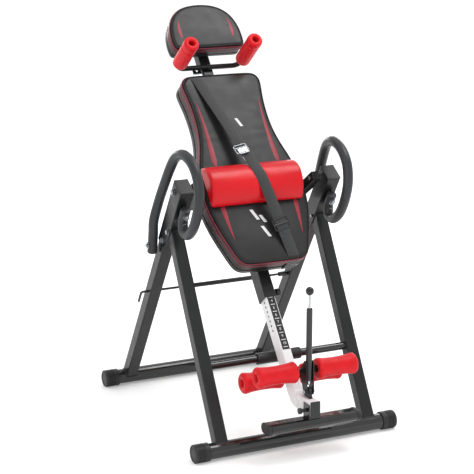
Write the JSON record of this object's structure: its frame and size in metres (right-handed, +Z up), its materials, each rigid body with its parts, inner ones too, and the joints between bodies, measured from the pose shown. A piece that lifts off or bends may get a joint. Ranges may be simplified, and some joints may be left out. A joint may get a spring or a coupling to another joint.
{
  "type": "inversion table",
  "caption": "Folding A-frame inversion table with a tilting padded bed, lumbar roll, strap, sliding headrest, height-adjustable boom, ankle clamp, footrest and looped handles.",
  "frame": {"origin": "middle of the footprint at floor level", "axes": "+Z up, -Y towards the foot side where the user steps on, +Y towards the head side, +X across"},
  "size_m": [0.7, 0.913, 1.3002],
  "materials": {
    "black_steel": "satin powder coat",
    "handle_coating": "matt coating",
    "white_steel": "gloss white coat",
    "chrome": "polished",
    "zinc": "zinc plated",
    "black_plastic": "moulded",
    "black_rubber": "matt",
    "black_vinyl": "smooth leatherette over foam",
    "red_vinyl": "gloss leatherette over foam",
    "red_foam": "moulded foam skin",
    "webbing": "woven",
    "plywood": "raw"
  },
  "bodies": {
    "root": {"rear_base_tube": "black_steel", "rear_cap_left": "black_rubber", "rear_cap_right": "black_rubber", "rear_leg_left": "black_steel", "rear_leg_right": "black_steel", "pivot_box_left": "black_steel", "pivot_box_right": "black_steel", "box_cap_left": "black_plastic", "box_cap_right": "black_plastic", "handle_left": "handle_coating", "handle_right": "handle_coating", "hinge_bolt_left": "zinc", "hinge_bolt_right": "zinc", "pivot_bolt_left": "zinc", "pivot_bolt_right": "zinc", "stop_rod": "chrome", "stop_sleeve": "black_rubber", "stop_collar": "black_plastic"},
    "front_frame": {"front_base_tube": "black_steel", "front_cap_left": "black_rubber", "front_cap_right": "black_rubber", "front_leg_left": "black_steel", "front_leg_right": "black_steel", "crossbar": "black_steel", "bumper_sleeve": "black_rubber"},
    "bed": {"boom_tube": "black_steel", "pivot_crosstube": "black_steel", "pivot_arm_left": "black_steel", "pivot_arm_right": "black_steel", "back_board": "plywood", "back_cushion": "black_vinyl", "lumbar_roll": "red_vinyl", "strap": "webbing", "strap_buckle": "black_plastic", "head_post": "chrome"},
    "headrest": {"head_sleeve": "black_steel", "grip_bar": "black_steel", "head_grip_left": "red_foam", "head_grip_right": "red_foam", "pillow_board": "plywood", "pillow": "black_vinyl"},
    "height_pin": {"height_pin": "black_plastic"},
    "foot_boom": {"inner_boom": "white_steel", "boom_plug": "black_plastic", "rear_bar": "black_steel", "rear_roller_left": "red_foam", "rear_roller_right": "red_foam", "ratchet_plate": "black_steel", "clamp_pin": "zinc"},
    "ankle_clamp": {"clamp_bracket": "black_steel", "front_bar": "black_steel", "front_roller_left": "red_foam", "front_roller_right": "red_foam", "lever_tube": "black_steel"},
    "release": {"release_rod": "chrome", "ball_knob": "black_plastic"},
    "footrest": {"footrest": "black_steel", "footrest_cap_left": "black_rubber", "footrest_cap_right": "black_rubber"},
    "footrest_pin": {"footrest_pin": "black_plastic"}
  },
  "joints": [
    {"name": "frame_fold", "type": "hinge", "parent": "root", "child": "front_frame", "pos_m": [0, 0.0153, 0.6331], "axis": [1, 0, 0], "range_deg": [0, 38]},
    {"name": "bed_tilt", "type": "hinge", "parent": "root", "child": "bed", "pos_m": [0, -0.0355, 0.771], "axis": [-1, 0, 0], "range_deg": [0, 84]},
    {"name": "boom_height", "type": "slide", "parent": "bed", "child": "foot_boom", "axis": [0, -0.6212, -0.7837], "range_m": [-0.03, 0.09]},
    {"name": "headrest_height", "type": "slide", "parent": "bed", "child": "headrest", "axis": [0, 0.6212, 0.7837], "range_m": [0, 0.05]},
    {"name": "height_pin_pull", "type": "slide", "parent": "bed", "child": "height_pin", "axis": [1, 0, 0], "range_m": [0, 0.01], "stiffness_N_per_m": 400, "springref_m": -0.006},
    {"name": "ankle_clamp_swing", "type": "hinge", "parent": "foot_boom", "child": "ankle_clamp", "pos_m": [0, -0.4045, 0.2], "axis": [1, 0, 0], "range_deg": [0, 35]},
    {"name": "release_pull", "type": "slide", "parent": "ankle_clamp", "child": "release", "axis": [0, 0, 1], "range_m": [0, 0.012], "stiffness_N_per_m": 500, "springref_m": -0.006},
    {"name": "footrest_reach", "type": "slide", "parent": "foot_boom", "child": "footrest", "axis": [0, 1, 0], "range_m": [0, 0.03]},
    {"name": "footrest_pin_pull", "type": "slide", "parent": "footrest", "child": "footrest_pin", "axis": [-1, 0, 0], "range_m": [0, 0.008], "stiffness_N_per_m": 400, "springref_m": -0.006}
  ]
}
